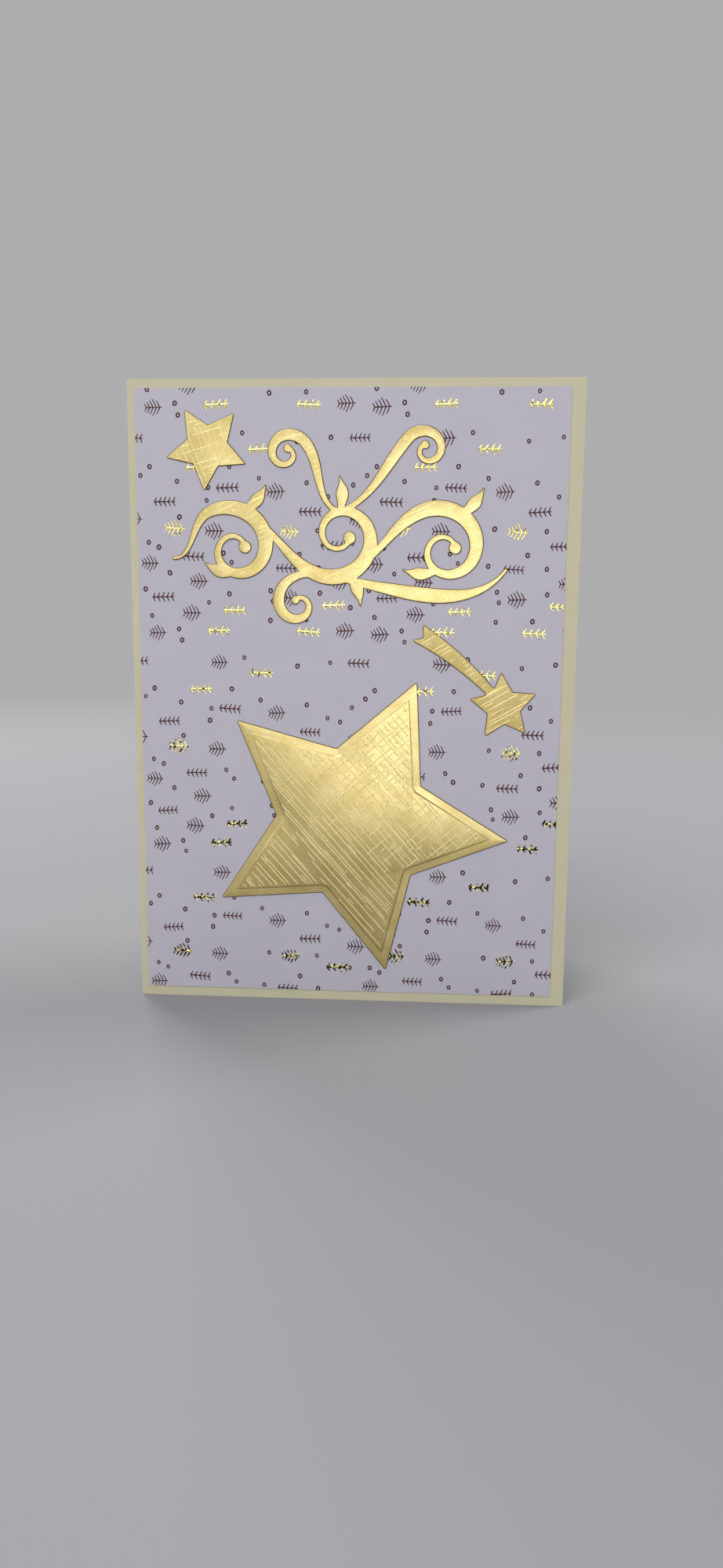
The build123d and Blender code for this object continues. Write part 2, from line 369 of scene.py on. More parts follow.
class GeometryTree(Graph):
    """Geometry node tree with named inputs, run on a mesh and turned into a plain one."""

    def __init__(self, name: str, sizes: tuple[str, ...], **others: str) -> None:
        """Makes the tree and its inputs, a seed and a material among them.

        Args:
            name: The tree's name.
            sizes: Names of the inputs that are plain numbers.
            others: The type of each other input, by its name.
        """
        super().__init__(bpy.data.node_groups.new(name, "GeometryNodeTree"))
        kinds = dict.fromkeys(sizes, "Float") | others | {"Seed": "Int", "Material": "Material"}
        interface = self.tree.interface
        interface.new_socket(name="Geometry", in_out="INPUT", socket_type="NodeSocketGeometry")
        for socket_name, kind in kinds.items():
            interface.new_socket(name=socket_name, in_out="INPUT", socket_type="NodeSocket" + kind)
        interface.new_socket(name="Geometry", in_out="OUTPUT", socket_type="NodeSocketGeometry")
        self.source = self.add("NodeGroupInput").outputs
        self.position = self.make("InputPosition")

    def make(self, kind: str, inputs: dict[str | int, Any] | None = None, **settings: Any) -> NodeSocket:
        """First output of a new geometry node, whose kind is given without its prefix."""
        return self.add("GeometryNode" + kind, inputs, **settings).outputs[0]

    def half(self, name: str) -> NodeSocket:
        """Half the value of one of the tree's inputs."""
        return self.math("MULTIPLY", self.source[name], 0.5)

    def row(self, count: Any, start: NodeSocket, offset: NodeSocket) -> NodeSocket:
        """Straight row of points."""
        return self.make("MeshLine", {"Count": count, "Start Location": start, "Offset": offset})

    def vector(self, x: Any = 0.0, y: Any = 0.0, z: Any = 0.0) -> NodeSocket:
        """Vector of three values or sockets."""
        return self.add("ShaderNodeCombineXYZ", {0: x, 1: y, 2: z}).outputs[0]

    def random(self, low: Any, high: Any, seed: Any) -> NodeSocket:
        """Random number between two bounds for each point."""
        return self.add("FunctionNodeRandomValue", {2: low, 3: high, 8: seed}, data_type="FLOAT").outputs[1]

    def below(self, value: Any, bound: Any) -> NodeSocket:
        """Whether a value is less than a bound."""
        return self.add("FunctionNodeCompare", {0: value, 1: bound}, operation="LESS_THAN").outputs[0]

    def tube(self, curve: NodeSocket, radius: Any, sides: int) -> NodeSocket:
        """Round tube of a radius along a curve."""
        profile = self.make("CurvePrimitiveCircle", {"Resolution": sides, "Radius": 1.0})
        return self.make("CurveToMesh", {0: curve, 1: profile, "Scale": radius, "Fill Caps": True})

    def finish(self, geometry: NodeSocket) -> None:
        """Ends the tree with real geometry, smooth shading and the material.

        Args:
            geometry: What the tree has made.
        """
        smooth = self.make("SetShadeSmooth", {0: self.make("RealizeInstances", {0: geometry})})
        dressed = self.make("SetMaterial", {0: smooth, "Material": self.source["Material"]})
        self.add("NodeGroupOutput", {0: dressed})

    def run(self, name: str, start: Mesh, values: dict[str, Any]) -> Object:
        """Runs the tree on a mesh.

        Args:
            name: Name of the new object.
            start: Mesh that goes in.
            values: Values of the tree's inputs by name. Names that it hasn't are left out.

        Returns:
            An object with the plain mesh that came out.
        """
        piece = place_object(name, start)
        modifier = piece.modifiers.new("Pattern", "NODES")
        modifier.node_group = self.tree
        for item in self.tree.interface.items_tree:
            if item.in_out == "INPUT" and item.name in values:
                modifier[item.identifier] = values[item.name]
        evaluated = piece.evaluated_get(bpy.context.evaluated_depsgraph_get())
        result = bpy.data.meshes.new_from_object(evaluated)
        piece.modifiers.remove(modifier)
        piece.data = result
        result.name = name
        return piece


def place_object(name: str, mesh: Mesh) -> Object:
    """Links a new object at the origin.

    Args:
        name: The object's name.
        mesh: Its mesh.

    Returns:
        The object.
    """
    piece = bpy.data.objects.new(name, mesh)
    bpy.context.scene.collection.objects.link(piece)
    return piece


def tree_inputs(sizes: Any) -> dict[str, Any]:
    """Fields of a dataclass as inputs of a node tree, by name."""
    return {field.name.replace("_", " ").title(): getattr(sizes, field.name) for field in fields(sizes)}


def mesh_of(name: str, points: np.ndarray, faces: list[tuple[int, ...]]) -> Mesh:
    """Makes a mesh from points and faces.

    Args:
        name: The mesh's name.
        points: Its points, one a row.
        faces: Its faces as numbers of points.

    Returns:
        The mesh.
    """
    mesh = bpy.data.meshes.new(name)
    mesh.from_pydata([tuple(point) for point in points], [], faces)
    mesh.update()
    return mesh


class Outline:
    """Closed loops on the front, as X and Z, with the material on the right of each edge."""

    BATCH = 500  # points whose distances are worked out at a time
    SHARP = 0.35  # limits how far the point of a sharp corner moves in an inset

    def __init__(self, loops: list[np.ndarray]) -> None:
        """Keeps the loops and their edges.

        Args:
            loops: The points of each loop, one a row.
        """
        self.loops = loops
        self.starts = np.vstack(loops)
        self.ends = np.vstack([np.roll(loop, -1, axis=0) for loop in loops])

    @classmethod
    def of_face(cls, node: str, depth: float) -> "Outline":
        """Reads the outline of a CAD node's flat face.

        Args:
            node: The node's name.
            depth: The face's Y.

        Returns:
            The outline.
        """
        tolerance = 0.002 * MM
        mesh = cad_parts[node].data
        co = np.array([vertex.co for vertex in mesh.vertices])
        keys = [tuple(row) for row in np.round(co[:, [0, 2]] / (0.1 * tolerance)).astype(int)]
        spots = dict(zip(keys, co[:, [0, 2]]))
        on_face = np.abs(co[:, 1] - depth) < tolerance
        edges = set()
        for polygon in mesh.polygons:
            corners = list(polygon.vertices)
            if on_face[corners].all():
                for first, second in zip(corners, corners[1:] + corners[:1]):
                    edges.add((keys[first], keys[second]))
        border = {a: b for a, b in edges if (b, a) not in edges}
        if depth < co[:, 1].max() - tolerance:
            border = {b: a for a, b in border.items()}
        loops = []
        while border:
            start, here = border.popitem()
            loop = [spots[start]]
            while here != start:
                loop.append(spots[here])
                here = border.pop(here)
            loops.append(cls.without_idle_points(np.array(loop), tolerance))
        return cls(loops)

    @staticmethod
    def without_idle_points(loop: np.ndarray, tolerance: float) -> np.ndarray:
        """Drops points that lie on the line between their neighbours, and doubles.

        Args:
            loop: The loop's points.
            tolerance: How far off the line a dropped point may lie.

        Returns:
            The points that are left.
        """
        kept = [loop[0]]
        for index in range(1, len(loop)):
            here, after = loop[index], loop[(index + 1) % len(loop)]
            chord = after - kept[-1]
            reach = here - kept[-1]
            length = np.hypot(*chord)
            off_line = abs(chord[0] * reach[1] - chord[1] * reach[0]) / max(length, 1e-9)
            if off_line > tolerance and np.hypot(*reach) > 10 * tolerance:
                kept.append(here)
        return np.array(kept)

    def outermost(self) -> "Outline":
        """The outline with its widest loop alone."""
        return Outline([max(self.loops, key=lambda loop: float(np.ptp(loop[:, 0])))])

    def distance(self, points: np.ndarray) -> np.ndarray:
        """Measures how far points are from the nearest edge.

        Args:
            points: The points, one a row.

        Returns:
            Their distances.
        """
        edges = self.ends - self.starts
        squares = np.maximum((edges ** 2).sum(1), 1e-18)
        found = np.empty(len(points))
        for first in range(0, len(points), self.BATCH):
            batch = slice(first, first + self.BATCH)
            reach = points[batch, None, :] - self.starts[None]
            share = np.clip((reach * edges).sum(2) / squares, 0, 1)
            found[batch] = np.sqrt((((reach - share[..., None] * edges) ** 2).sum(2)).min(1))
        return found

    def contains(self, points: np.ndarray) -> np.ndarray:
        """Tells which points lie inside, by an odd count of crossed edges.

        Args:
            points: The points, one a row.

        Returns:
            True for each that does.
        """
        x, z = points[:, :1], points[:, 1:]
        rise = self.ends[:, 1] - self.starts[:, 1]
        spans = (self.starts[:, 1] > z) != (self.ends[:, 1] > z)
        slope = (self.ends[:, 0] - self.starts[:, 0]) / np.where(rise == 0, 1, rise)
        crossing = spans & (x < self.starts[:, 0] + (z - self.starts[:, 1]) * slope)
        return crossing.sum(1) % 2 == 1

    def inset(self, width: float) -> list[np.ndarray]:
        """Moves each loop towards its material, or away from it where the width is negative.

        Args:
            width: How far it is moved.

        Returns:
            The moved loops.
        """
        moved = []
        for loop in self.loops:
            edge = np.roll(loop, -1, axis=0) - loop
            edge /= np.hypot(edge[:, 0], edge[:, 1])[:, None]
            normal = np.column_stack([edge[:, 1], -edge[:, 0]])
            before = np.roll(normal, 1, axis=0)
            miter = (normal + before) / np.maximum(1 + (normal * before).sum(1), self.SHARP)[:, None]
            moved.append(loop + miter * width)
        return moved


@dataclass
class PressedCutout:
    """Piece of gold card pressed and cut by a die, with a rolled edge and, on some, a raised field."""

    node: str
    roll_width: float = 0.28 * MM
    wall: float = 0.05 * MM
    ring_count: int = 5
    field_slope: float = 0.42 * MM
    field_inside: float = 0.25  # how far the slope reaches in past the field's outline, over field_slope
    field_steps: tuple = (-0.25, -0.05, 0.15, 0.375, 0.6, 0.8, 1.0)
    ring_fit: float = 0.93  # a ring's points nearer to the outline than this share of its width are dropped
    crisp_angle: float = 50.0  # degrees, from which an edge is shaded as sharp
    emboss: float = 0.0

    def __post_init__(self) -> None:
        """Reads the outline and the heights from the CAD node."""
        low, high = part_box(self.node)
        self.back_y = high.y
        self.front_y = low.y
        self.thickness = high.y - low.y - self.emboss
        self.outline = Outline.of_face(self.node, self.back_y)
        if self.emboss:
            self.outline = self.outline.outermost()
        self.field_outline = Outline.of_face(self.node, self.front_y) if self.emboss else None

    def rise(self, points: np.ndarray) -> np.ndarray:
        """Measures how high the raised field stands over the band, zero where there is none.

        Args:
            points: Places as X and Z, one a row.

        Returns:
            The height at each.
        """
        if self.field_outline is None:
            return np.zeros(len(points))
        signed = self.field_outline.distance(points) * np.where(self.field_outline.contains(points), -1, 1)
        share = np.clip((self.field_slope - signed) / ((1 + self.field_inside) * self.field_slope), 0, 1)
        return self.emboss * share * share * (3 - 2 * share)

    def roll(self, points: np.ndarray) -> np.ndarray:
        """Height of the front above the back, lower near the cut edge."""
        share = np.clip(self.outline.distance(points) / self.roll_width, 0, 1)
        return self.wall + (self.thickness - self.wall) * np.sqrt(1 - (1 - share) ** 2)

    def rings(self) -> tuple[np.ndarray, list[tuple[int, int]]]:
        """Points and edges that the surface has to have.

        Returns:
            The points, and the edges as pairs of their numbers.
        """
        wanted = [(self.outline, 0.0)]
        for step in range(1, self.ring_count + 1):
            wanted.append((self.outline, self.roll_width * (1 - cos(pi / 2 * step / self.ring_count))))
        if self.field_outline is not None:
            for share in self.field_steps:
                wanted.append((self.field_outline, -share * self.field_slope))
        points, edges = [], []
        for outline, width in wanted:
            for loop in outline.inset(width):
                kept = outline.distance(loop) > self.ring_fit * abs(width)
                if outline is self.outline and width > 0:
                    kept &= outline.contains(loop)
                numbers = np.cumsum(kept) - 1 + len(points)
                joined = kept & np.roll(kept, -1)
                edges += zip(numbers[joined].tolist(), np.roll(numbers, -1)[joined].tolist())
                points.extend(loop[kept])
        return np.array(points), edges

    def build(self, material: Material) -> Object:
        """Builds the piece in place of its CAD node.

        Args:
            material: The gold card.

        Returns:
            The new piece.
        """
        points, edges = self.rings()
        laid = delaunay_2d_cdt([Vector(point) for point in points / MM], edges, [], 0, 1e-5)
        flat = np.array([tuple(point) for point in laid[0]]) * MM
        triangles = np.array(laid[2])
        triangles = triangles[self.outline.contains(flat[triangles].mean(1))]
        rise = self.rise(flat)
        front = np.column_stack([flat[:, 0], self.back_y - rise - self.roll(flat), flat[:, 1]])
        back = np.column_stack([flat[:, 0], self.back_y - rise, flat[:, 1]])
        faces = self.sheet_faces(triangles, flat)
        mesh = mesh_of(self.node + "_pressed", np.vstack([front, back]), faces)
        mesh.materials.append(material)
        mesh.polygons.foreach_set("use_smooth", [True] * len(faces))
        shell = bmesh.new()
        shell.from_mesh(mesh)
        loose = [vertex for vertex in shell.verts if not vertex.link_faces]
        bmesh.ops.delete(shell, geom=loose, context="VERTS")
        for edge in shell.edges:
            edge.smooth = edge.calc_face_angle(0.0) < radians(self.crisp_angle)
        shell.to_mesh(mesh)
        shell.free()
        spots = np.array([vertex.co for vertex in mesh.vertices])[:, [0, 2]]
        rim = 1 - np.clip(self.outline.distance(spots) / self.roll_width, 0, 1)
        mesh.attributes.new(RIM_ATTRIBUTE, "FLOAT", "POINT").data.foreach_set("value", rim.astype(np.float32))
        self.front_triangles = (front, triangles)
        return place_object(self.node + "_pressed", mesh)

    @staticmethod
    def sheet_faces(triangles: np.ndarray, flat: np.ndarray) -> list[tuple[int, ...]]:
        """Front, back and wall faces of the sheet, whose back has its points after the front's.

        Args:
            triangles: The front's triangles, any way round.
            flat: Its points as X and Z.

        Returns:
            The faces, all looking outwards.
        """
        count = len(flat)
        a, b, c = (flat[triangles[:, corner]] for corner in range(3))
        turn = (b[:, 0] - a[:, 0]) * (c[:, 1] - a[:, 1]) - (b[:, 1] - a[:, 1]) * (c[:, 0] - a[:, 0])
        faces, directed = [], set()
        for (first, second, third), side in zip(triangles.tolist(), turn):
            if side < 0:
                second, third = third, second
            faces.append((first, second, third))
            faces.append((third + count, second + count, first + count))
            directed.update([(first, second), (second, third), (third, first)])
        for first, second in directed:
            if (second, first) not in directed:
                faces.append((second, first, first + count, second + count))
        return faces

    def flat_part(self, low: float, high: float) -> Mesh:
        """Takes the part of the front whose height over the back lies between two bounds.

        Args:
            low: The lower bound.
            high: The upper bound.

        Returns:
            A mesh of that part.
        """
        points, triangles = self.front_triangles
        height = self.back_y - points[:, 1]
        level = (height > low) & (height < high)
        return mesh_of(self.node + "_flat", points, triangles[level[triangles].all(1)].tolist())


class EmbossedLines(GeometryTree):
    """Long broken ridges, side by side, that stand on a flat face and stop at its border."""

    SIDES = 8
    TIP = 0.3  # width of a ridge's very end over its full width
    LIFT = 5 * MM  # how far in front of the face the ridges are aimed from
    LINE_SPREAD = 7919.0  # steps the noise on from one ridge to the next

    def __init__(self) -> None:
        """Builds the tree."""
        sizes = (
            "Heading", "Span", "Pitch", "Scatter", "Step", "Dash", "Gap", "Drift", "Width", "Height", "Taper",
        )
        super().__init__("embossed_lines", sizes, Centre="Vector")
        source = self.source
        span, pitch, step = source["Span"], source["Pitch"], source["Step"]
        start = self.math("MULTIPLY", span, -0.5)
        across = self.row(self.math("DIVIDE", span, pitch), self.vector(z=start), self.vector(z=pitch))
        reach = self.math("MULTIPLY", source["Scatter"], pitch)
        shift = self.random(self.math("MULTIPLY", reach, -1.0), reach, source["Seed"])
        across = self.make("SetPosition", {0: across, "Offset": self.vector(z=shift)})
        line = self.row(self.math("DIVIDE", span, step), self.vector(start), self.vector(step))
        lines = self.make("InstanceOnPoints", {"Points": across, "Instance": line})
        lines = self.make("RealizeInstances", {0: lines})
        lines = self.make("DeleteGeometry", {0: lines, 1: self.gaps()}, domain="POINT")
        turn = self.vector(y=self.math("MULTIPLY", source["Heading"], -1.0))
        lines = self.make("Transform", {0: lines, "Translation": source["Centre"], "Rotation": turn})
        curves = self.make("MeshToCurve", {0: self.on_face(lines)})
        length = self.make("SplineLength")
        short = {0: curves, 1: self.below(length, source["Taper"])}
        curves = self.make("DeleteGeometry", short, domain="CURVE")
        done = self.add("GeometryNodeSplineParameter").outputs["Length"]
        nearest = self.math("MINIMUM", done, self.math("SUBTRACT", length, done))
        share = self.span(self.math("DIVIDE", nearest, source["Taper"]), 0.0, 1.0, self.TIP, 1.0)
        radius = self.math("MULTIPLY", self.half("Width"), share)
        self.finish(self.flattened(self.tube(curves, radius, self.SIDES)))

    def gaps(self) -> NodeSocket:
        """Breaks the lines where a noise along them is under a bound, which drifts from start to end.

        Returns:
            True at the points that go.
        """
        source = self.source
        spot = self.add("ShaderNodeSeparateXYZ", {0: self.position})
        along = self.math("DIVIDE", spot.outputs[0], source["Dash"])
        line = self.math("MULTIPLY", spot.outputs[2], self.LINE_SPREAD)
        noise = self.noise(self.vector(along, line, source["Seed"]), 1.0, 1.0)
        drift = self.math("MULTIPLY", self.math("DIVIDE", spot.outputs[0], source["Span"]), source["Drift"])
        return self.below(noise, self.math("ADD", source["Gap"], drift))

    def on_face(self, lines: NodeSocket) -> NodeSocket:
        """Keeps the points in front of the face and lays them on it.

        Args:
            lines: The lines' points and edges.

        Returns:
            What is left of them, on the face.
        """
        aim = {0: self.position, 1: (0, -self.LIFT, 0)}
        ray = self.add(
            "GeometryNodeRaycast",
            {
                "Target Geometry": self.source["Geometry"],
                "Source Position": self.add("ShaderNodeVectorMath", aim, operation="ADD").outputs[0],
                "Ray Direction": (0, 1, 0),
                "Ray Length": 2 * self.LIFT,
            },
        ).outputs
        missed = self.add("FunctionNodeBooleanMath", {0: ray["Is Hit"]}, operation="NOT").outputs[0]
        kept = self.make("DeleteGeometry", {0: lines, 1: missed}, domain="POINT")
        return self.make("SetPosition", {0: kept, "Position": ray["Hit Position"]})

    def flattened(self, tubes: NodeSocket) -> NodeSocket:
        """Presses the tubes towards the face until they stand at their height.

        Args:
            tubes: Round tubes along the lines.

        Returns:
            The flattened tubes.
        """
        spot = self.add("ShaderNodeSeparateXYZ", {0: self.position})
        level = self.add("ShaderNodeSeparateXYZ", {0: self.source["Centre"]}).outputs[1]
        share = self.math("DIVIDE", self.source["Height"], self.half("Width"))
        depth = self.math("MULTIPLY_ADD", self.math("SUBTRACT", spot.outputs[1], level), share, level)
        place = self.vector(spot.outputs[0], depth, spot.outputs[2])
        return self.make("SetPosition", {0: tubes, "Position": place})


@dataclass(frozen=True)
class LineSet:
    """One family of parallel embossed lines."""

    name: str
    heading: float  # degrees, anticlockwise from the right
    pitch: float = 1.3 * MM
    scatter: float = 0.42  # how far a line strays to either side, over the pitch
    dash: float = 14 * MM
    gap: float = 0.42  # the higher, the more of a line is missing
    drift: float = 0.0  # change of the gap from a line's start to its end
    width: float = 0.28 * MM
    height: float = 0.065 * MM
    seed: int = 1
    # whether the lines take the ridge finish with the painted highlight, or the card's own
    burnished: bool = True
    step: float = 0.45 * MM
    taper: float = 0.5 * MM

    def press(self, tree: EmbossedLines, face: Mesh, material: Material) -> Object:
        """Presses the lines into a face.

        Args:
            tree: The node tree that makes them.
            face: Flat mesh that they stand on.
            material: The finish of the lines.

        Returns:
            The piece with all the lines.
        """
        corners = [number for polygon in face.polygons for number in polygon.vertices]
        used = np.array([face.vertices[number].co for number in corners])
        low, high = used.min(0), used.max(0)
        values = {
            "Centre": ((low + high) / 2).tolist(),
            "Heading": radians(self.heading),
            "Span": float(np.hypot(*(high - low)[[0, 2]])),
            "Material": material,
        }
        return tree.run(self.name, face, tree_inputs(self) | values)


class Ink(Enum):
    """What a motif is printed with."""

    MAROON = "maroon"
    FOIL = "foil"


@dataclass(frozen=True)
class Twig:
    """Printed twig: a stem with pairs of needles and a bare tail on the right."""

    name: str
    stem: float
    tail: float
    pairs: int
    needle: float
    first_needle: float  # length of the leftmost needles over that of the longest
    last_needle: float
    longest: float  # where the longest needles are, from 0 on the left to 1 on the right
    lean: float  # angle between the stem and a needle, over 90 degrees where it leans to the left
    width: float
    height: float


@dataclass(frozen=True)
class Ring:
    """Printed upright oval ring."""

    name: str
    wide: float
    high: float
    width: float  # of its stroke
    height: float


class PrintTree(GeometryTree):
    """Prints a motif, each time a little turned and resized, at each point of a mesh."""

    SIDES = 6

    def stamp(self, strokes: NodeSocket, radius: Any, tilt: float, sizes: tuple[float, float]) -> None:
        """Ends the tree with the motif at every point.

        Args:
            strokes: The motif's curves.
            radius: Half the width of a stroke.
            tilt: How far a motif is turned at most, in radians.
            sizes: The smallest and the largest scale.
        """
        seed = self.source["Seed"]
        press = self.math("DIVIDE", self.source["Height"], self.half("Width"))
        raised = self.tube(strokes, radius, self.SIDES)
        motif = self.make("Transform", {0: raised, "Scale": self.vector(1.0, press, 1.0)})
        turn = self.vector(y=self.random(-tilt, tilt, seed))
        size = self.random(*sizes, self.math("ADD", seed, 1.0))
        copies = {"Points": self.source["Geometry"], "Instance": motif, "Rotation": turn}
        self.finish(self.make("InstanceOnPoints", copies | {"Scale": self.vector(size, 1.0, size)}))


class TwigTree(PrintTree):
    """Prints one kind of twig at each point of a mesh."""

    BOW = -0.04  # how far the middle of a needle stands aside, over its length
    NEEDLE_SCALE = (0.9, 1.08)
    ROOT, TIP = 1.12, 0.72  # width of a stroke's start and end over its width

    def __init__(self) -> None:
        """Builds the tree."""
        sizes = (
            "Stem", "Tail", "Needle", "First Needle", "Last Needle", "Longest", "Lean", "Width", "Height",
        )
        super().__init__("printed_twig", sizes, Pairs="Int")
        source, pairs = self.source, self.source["Pairs"]
        right = self.half("Stem")
        left = self.math("MULTIPLY", right, -1.0)
        stem = self.make("CurvePrimitiveLine", {"Start": self.vector(left), "End": self.vector(right)})
        stem = self.make("ResampleCurve", {"Curve": stem, "Count": 7})
        last = self.math("SUBTRACT", pairs, 1.0)
        gap = self.math("DIVIDE", self.math("SUBTRACT", source["Stem"], source["Tail"]), last)
        roots = self.row(pairs, self.vector(left), self.vector(gap))
        bend = {"Resolution": 4, "Start": (0, 0, 0), "Middle": (0.5, 0, self.BOW), "End": (1, 0, 0)}
        needle = self.make("CurveQuadraticBezier", bend)
        rank = self.math("DIVIDE", self.make("InputIndex"), last)
        rising = self.ramp(rank, 0.0, source["Longest"], source["First Needle"], 1.0)
        falling = self.ramp(rank, source["Longest"], 1.0, 1.0, source["Last Needle"])
        share = self.math("MINIMUM", rising, falling)
        uneven = self.random(*self.NEEDLE_SCALE, source["Seed"])
        length = self.math("MULTIPLY", self.math("MULTIPLY", share, uneven), source["Needle"])
        lean = self.math("MULTIPLY", source["Lean"], -1.0)
        strokes = [stem]
        for side in (1.0, -1.0):
            scale = self.vector(length, length, self.math("MULTIPLY", length, side))
            turn = self.vector(y=self.math("MULTIPLY", lean, side))
            copies = {"Points": roots, "Instance": needle, "Scale": scale, "Rotation": turn}
            strokes.append(self.make("InstanceOnPoints", copies))
        curves = self.make("RealizeInstances", {0: self.make("JoinGeometry", {0: strokes})})
        factor = self.add("GeometryNodeSplineParameter").outputs["Factor"]
        thin = self.ramp(factor, 0.0, 1.0, self.ROOT, self.TIP)
        radius = self.math("MULTIPLY", self.half("Width"), thin)
        self.stamp(curves, radius, tilt=0.07, sizes=(0.94, 1.06))


class RingTree(PrintTree):
    """Prints a small upright oval ring at each point of a mesh."""

    def __init__(self) -> None:
        """Builds the tree."""
        super().__init__("printed_ring", ("Wide", "High", "Width", "Height"))
        circle = self.make("CurvePrimitiveCircle", {"Resolution": 20, "Radius": 0.5})
        circle = self.make("Transform", {0: circle, "Rotation": (pi / 2, 0, 0)})
        size = self.vector(self.source["Wide"], 1.0, self.source["High"])
        oval = self.make("Transform", {0: circle, "Scale": size})
        self.stamp(oval, self.half("Width"), tilt=0.3, sizes=(0.9, 1.15))


@dataclass(frozen=True)
class RepeatPrint:
    """Print on the paper: one listed repeat of twigs and rings, laid over the sheet.

    Places are in millimetres from the upper left corner of the card, to the right and down.
    """

    repeat_width: float = 52.9
    repeat_height: float = 51.4
    fans: tuple = (
        (6.5, 6.3), (51.2, 5.5), (34.9, 25.1), (5.0, 41.5), (16.6, 45.6), (14.8, 1.6), (21.2, 13.2),
        (38.3, 49.4), (20.4, 34.0), (1.3, 31.3), (49.7, 45.7),
    )
    sprigs: tuple = (
        (23.4, 24.2), (8.6, 27.4), (15.1, 39.9), (7.8, 49.3), (42.7, 29.6), (37.1, 42.5), (1.3, 13.1),
        (47.8, 37.3),
    )
    foil_sprigs: tuple = ((20.9, 5.7), (42.3, 5.8), (31.0, 15.6), (24.8, 0.9), (16.4, 19.6), (48.2, 51.0))
    foil_fans: tuple = ((11.0, 33.5), (38.0, 34.1))
    rings: tuple = (
        (4.9, 2.3), (11.3, 5.4), (12.0, 8.0), (33.2, 3.2), (41.7, 3.0), (26.9, 12.0), (39.6, 13.9),
        (47.4, 13.0), (5.1, 19.5), (2.9, 21.5), (11.5, 22.8), (23.8, 19.5), (18.8, 24.2), (18.4, 27.1),
        (30.7, 22.1), (41.8, 23.1), (46.8, 26.2), (49.8, 27.1), (52.6, 23.6), (11.9, 30.9), (4.5, 36.7),
        (6.9, 37.8), (32.4, 33.4), (44.3, 33.9), (40.1, 39.3), (22.2, 39.1), (24.1, 41.2), (31.1, 41.8),
        (44.6, 42.4), (9.4, 43.7), (3.5, 47.5), (23.5, 48.5), (18.6, 50.5), (33.3, 47.7), (33.8, 50.1),
        (44.9, 48.2), (52.1, 0.1), (52.5, 36.8),
    )
    fan: Twig = Twig(
        "fan", stem=3.8 * MM, tail=0.55 * MM, pairs=5, needle=2.3 * MM, first_needle=0.45, last_needle=0.75,
        longest=0.7, lean=radians(117), width=0.31 * MM, height=0.012 * MM,
    )
    sprig: Twig = Twig(
        "sprig", stem=4.9 * MM, tail=0.7 * MM, pairs=5, needle=1.22 * MM, first_needle=0.9, last_needle=0.95,
        longest=0.5, lean=radians(62), width=0.34 * MM, height=0.014 * MM,
    )
    foil_fan: Twig = Twig(
        "foil_fan", stem=4.1 * MM, tail=0.5 * MM, pairs=5, needle=2.05 * MM, first_needle=0.45,
        last_needle=0.75, longest=0.7, lean=radians(118), width=0.46 * MM, height=0.035 * MM,
    )
    foil_sprig: Twig = Twig(
        "foil_sprig", stem=5.2 * MM, tail=0.9 * MM, pairs=4, needle=1.32 * MM, first_needle=0.85,
        last_needle=0.95, longest=0.6, lean=radians(58), width=0.58 * MM, height=0.04 * MM,
    )
    ring: Ring = Ring("ring", wide=0.68 * MM, high=0.86 * MM, width=0.34 * MM, height=0.012 * MM)
    odd_foil_sprig: tuple = (49.5, 139.5)  # printed in place of the maroon sprig there
    odd_reach: float = 3.0
    columns: range = range(3)
    rows: range = range(-1, 4)
    margin: float = 3 * MM  # motifs this far off the paper may still reach onto it

    def points(self, places: tuple, sheet: tuple[Vector, Vector], corner: Vector) -> Mesh:
        """Points where a motif is printed.

        Args:
            places: Its places in one repeat.
            sheet: The paper's lowest and highest corners.
            corner: The card's upper left corner.

        Returns:
            A mesh of loose points on the paper.
        """
        low, high = sheet[0] - Vector.Fill(3, self.margin), sheet[1] + Vector.Fill(3, self.margin)
        on_card = [
            (right + column * self.repeat_width, down + row * self.repeat_height)
            for column in self.columns
            for row in self.rows
            for right, down in places
        ]
        wanted = [place for place in on_card if dist(place, self.odd_foil_sprig) > self.odd_reach]
        if places is self.foil_sprigs:
            wanted.append(self.odd_foil_sprig)
        spots = [(corner.x + right * MM, sheet[0].y, corner.z - down * MM) for right, down in wanted]
        spots = [spot for spot in spots if low.x < spot[0] < high.x and low.z < spot[2] < high.z]
        return mesh_of("print_places", np.array(spots), [])

    def lay(self, ink: Material, foil: Material) -> list[Object]:
        """Prints everything on the paper.

        Args:
            ink: The maroon ink.
            foil: The gold foil.

        Returns:
            The printed pieces, cut at the paper's edges.
        """
        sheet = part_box("patterned_panel")
        low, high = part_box("card_base")
        corner = Vector((low.x, 0, high.z))
        twigs, rings = TwigTree(), RingTree()
        jobs = (
            (twigs, self.fan, self.fans, Ink.MAROON, 1),
            (twigs, self.sprig, self.sprigs, Ink.MAROON, 2),
            (twigs, self.foil_fan, self.foil_fans, Ink.FOIL, 3),
            (twigs, self.foil_sprig, self.foil_sprigs, Ink.FOIL, 4),
            (rings, self.ring, self.rings, Ink.MAROON, 9),
        )
        pieces = []
        for tree, motif, places, kind, seed in jobs:
            values = tree_inputs(motif) | {"Seed": seed, "Material": foil if kind is Ink.FOIL else ink}
            piece = tree.run("printed_" + motif.name, self.points(places, sheet, corner), values)
            trim(piece.data, sheet)
            pieces.append(piece)
        return pieces


